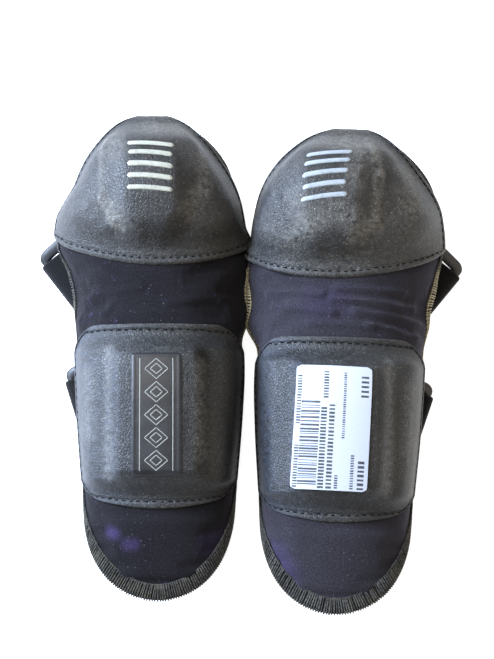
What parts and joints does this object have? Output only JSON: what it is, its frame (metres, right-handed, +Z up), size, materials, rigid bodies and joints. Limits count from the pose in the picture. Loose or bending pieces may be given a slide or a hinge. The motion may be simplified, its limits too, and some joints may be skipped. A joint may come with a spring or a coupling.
{
  "type": "knee and shin guard pair",
  "caption": "Pair of padded knee and shin guards with leatherette covers, neoprene panels and elastic straps through plastic loops.",
  "frame": {"origin": "on the plane the straps rest on, under the middle of the pair's outer box", "axes": "+Z up, out of the guards' fronts; +Y towards the thigh ends; +X across, from the left guard to the right"},
  "size_m": [0.2114, 0.2452, 0.0656],
  "materials": {
    "leatherette": "satin, fine grain, scuffed",
    "neoprene": "matte knit",
    "overlock_thread": "ribbed thread",
    "foam": "matte closed-cell",
    "stiff_shell": "moulded",
    "seam_thread": "twisted thread",
    "bar_rubber": "raised print, worn",
    "badge_rubber": "pressed satin",
    "webbing": "woven",
    "elastic": "woven elastic",
    "hook_tape": "hook tape",
    "pile_tape": "brushed pile",
    "loop_plastic": "moulded satin",
    "label_paper": "matte coated paper"
  },
  "bodies": {
    "left_shin": {"left_shin_panel": "neoprene", "left_flex_panel": "neoprene", "left_shin_binding": "overlock_thread", "left_shin_foam": "foam", "left_shin_plate": "stiff_shell", "left_shin_cover": "leatherette", "left_shin_seam": "seam_thread", "left_shin_badge": "badge_rubber", "left_lower_tab": "webbing", "left_lower_strap": "elastic", "left_lower_pile_patch": "pile_tape"},
    "left_knee": {"left_knee_panel": "neoprene", "left_knee_binding": "overlock_thread", "left_knee_foam": "foam", "left_knee_cap": "stiff_shell", "left_knee_cover": "leatherette", "left_knee_seam": "seam_thread", "left_knee_bars": "bar_rubber", "left_upper_tab": "webbing", "left_upper_strap": "elastic", "left_upper_pile_patch": "pile_tape"},
    "left_upper_ring": {"left_upper_loop": "loop_plastic", "left_upper_bight": "elastic"},
    "left_upper_tail_end": {"left_upper_tail": "elastic", "left_upper_hook_patch": "hook_tape"},
    "left_lower_ring": {"left_lower_loop": "loop_plastic", "left_lower_bight": "elastic"},
    "left_lower_tail_end": {"left_lower_tail": "elastic", "left_lower_hook_patch": "hook_tape"},
    "right_shin": {"right_shin_panel": "neoprene", "right_flex_panel": "neoprene", "right_shin_binding": "overlock_thread", "right_shin_foam": "foam", "right_shin_plate": "stiff_shell", "right_shin_cover": "leatherette", "right_shin_seam": "seam_thread", "right_shin_badge": "badge_rubber", "right_lower_tab": "webbing", "right_lower_strap": "elastic", "right_lower_pile_patch": "pile_tape", "price_label": "label_paper"},
    "right_knee": {"right_knee_panel": "neoprene", "right_knee_binding": "overlock_thread", "right_knee_foam": "foam", "right_knee_cap": "stiff_shell", "right_knee_cover": "leatherette", "right_knee_seam": "seam_thread", "right_knee_bars": "bar_rubber", "right_upper_tab": "webbing", "right_upper_strap": "elastic", "right_upper_pile_patch": "pile_tape"},
    "right_upper_ring": {"right_upper_loop": "loop_plastic", "right_upper_bight": "elastic"},
    "right_upper_tail_end": {"right_upper_tail": "elastic", "right_upper_hook_patch": "hook_tape"},
    "right_lower_ring": {"right_lower_loop": "loop_plastic", "right_lower_bight": "elastic"},
    "right_lower_tail_end": {"right_lower_tail": "elastic", "right_lower_hook_patch": "hook_tape"}
  },
  "joints": [
    {"name": "left_knee_flex", "type": "hinge", "parent": "left_shin", "child": "left_knee", "pos_m": [-0.04453, 0.03138, 0.034], "axis": [-1, 0, 0], "range_deg": [-10, 25], "deforming": ["left_flex_panel"]},
    {"name": "left_upper_ring_pivot", "type": "hinge", "parent": "left_knee", "child": "left_upper_ring", "pos_m": [-0.07936, 0.05058, 0.01178], "axis": [0.6157, -0.788, 0], "range_deg": [0, 24]},
    {"name": "left_upper_tail_peel", "type": "hinge", "parent": "left_upper_ring", "child": "left_upper_tail_end", "pos_m": [-0.09269, 0.04016, 0], "axis": [-0.6157, 0.788, 0], "range_deg": [0, 120]},
    {"name": "left_lower_ring_pivot", "type": "hinge", "parent": "left_shin", "child": "left_lower_ring", "pos_m": [-0.06851, -0.01644, 0.01178], "axis": [0.3007, -0.9537, 0], "range_deg": [0, 24]},
    {"name": "left_lower_tail_peel", "type": "hinge", "parent": "left_lower_ring", "child": "left_lower_tail_end", "pos_m": [-0.08464, -0.02153, 0], "axis": [-0.3007, 0.9537, 0], "range_deg": [0, 120]},
    {"name": "pair_separation", "type": "slide", "parent": "left_shin", "child": "right_shin", "axis": [1, 0, 0], "range_m": [0, 0.15]},
    {"name": "right_knee_flex", "type": "hinge", "parent": "right_shin", "child": "right_knee", "pos_m": [0.0439, 0.02487, 0.034], "axis": [-0.9996, 0.0297, 0], "range_deg": [-10, 25], "deforming": ["right_flex_panel"]},
    {"name": "right_upper_ring_pivot", "type": "hinge", "parent": "right_knee", "child": "right_upper_ring", "pos_m": [0.07938, 0.04603, 0.01178], "axis": [0.6388, 0.7694, 0], "range_deg": [0, 24]},
    {"name": "right_upper_tail_peel", "type": "hinge", "parent": "right_upper_ring", "child": "right_upper_tail_end", "pos_m": [0.09239, 0.03522, 0], "axis": [-0.6388, -0.7694, 0], "range_deg": [0, 120]},
    {"name": "right_lower_ring_pivot", "type": "hinge", "parent": "right_shin", "child": "right_lower_ring", "pos_m": [0.06645, -0.02364, 0.01178], "axis": [0.3289, 0.9444, 0], "range_deg": [0, 24]},
    {"name": "right_lower_tail_peel", "type": "hinge", "parent": "right_lower_ring", "child": "right_lower_tail_end", "pos_m": [0.08243, -0.02921, 0], "axis": [-0.3289, -0.9444, 0], "range_deg": [0, 120]}
  ],
  "couplings": [
    {"joint": "left_upper_ring_pivot", "follows": "left_upper_tail_peel", "ratio": 0.2},
    {"joint": "left_lower_ring_pivot", "follows": "left_lower_tail_peel", "ratio": 0.2},
    {"joint": "right_upper_ring_pivot", "follows": "right_upper_tail_peel", "ratio": 0.2},
    {"joint": "right_lower_ring_pivot", "follows": "right_lower_tail_peel", "ratio": 0.2}
  ]
}
